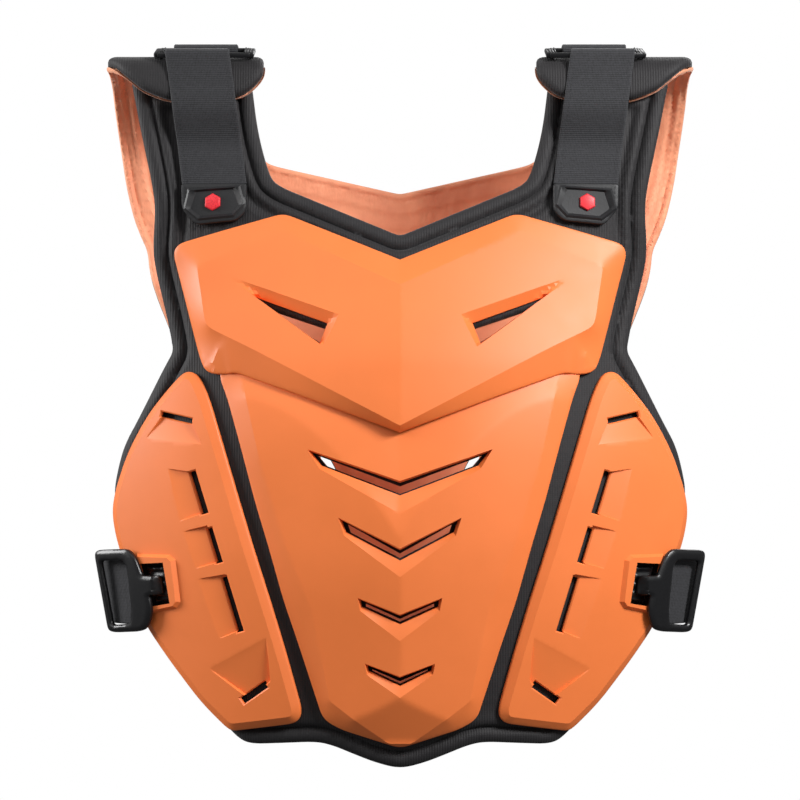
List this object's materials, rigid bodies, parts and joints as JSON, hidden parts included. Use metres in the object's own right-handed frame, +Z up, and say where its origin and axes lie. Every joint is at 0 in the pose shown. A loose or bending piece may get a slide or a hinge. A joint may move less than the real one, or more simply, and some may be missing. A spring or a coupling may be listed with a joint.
{
  "type": "motorcycle armour vest",
  "caption": "Motorcycle armour vest with orange hard plates on a black padded front, coral lining, shoulder straps and side buckles.",
  "frame": {"origin": "mid-way between the shoulders, at the underside level of the shoulder arches, where the vest rests on its wearer", "axes": "+X to the viewer's right when the front is faced, -Y out of the front, +Z up"},
  "size_m": [0.478, 0.2315, 0.5602],
  "materials": {
    "mesh_black": "ribbed air mesh over foam",
    "lining_coral": "matt cloth",
    "plate_orange": "satin",
    "webbing_black": "elastic webbing",
    "rubber_black": "matt",
    "badge_red": "satin",
    "plastic_black": "satin"
  },
  "bodies": {
    "root": {"front_pad": "mesh_black", "front_lining": "lining_coral", "back_pad": "mesh_black", "back_lining": "lining_coral", "chest_plate": "plate_orange", "belly_plate": "plate_orange", "side_plate_left": "plate_orange", "shoulder_strap_left": "webbing_black", "strap_tab_left": "rubber_black", "tab_badge_left": "badge_red", "shoulder_ring_left": "plastic_black", "ring_anchor_left": "webbing_black", "side_buckle_left": "plastic_black", "side_catch_left": "plastic_black", "side_strap_left": "webbing_black", "side_plate_right": "plate_orange", "shoulder_strap_right": "webbing_black", "strap_tab_right": "rubber_black", "tab_badge_right": "badge_red", "shoulder_ring_right": "plastic_black", "ring_anchor_right": "webbing_black", "side_buckle_right": "plastic_black", "side_catch_right": "plastic_black", "side_strap_right": "webbing_black"}
  },
  "joints": []
}
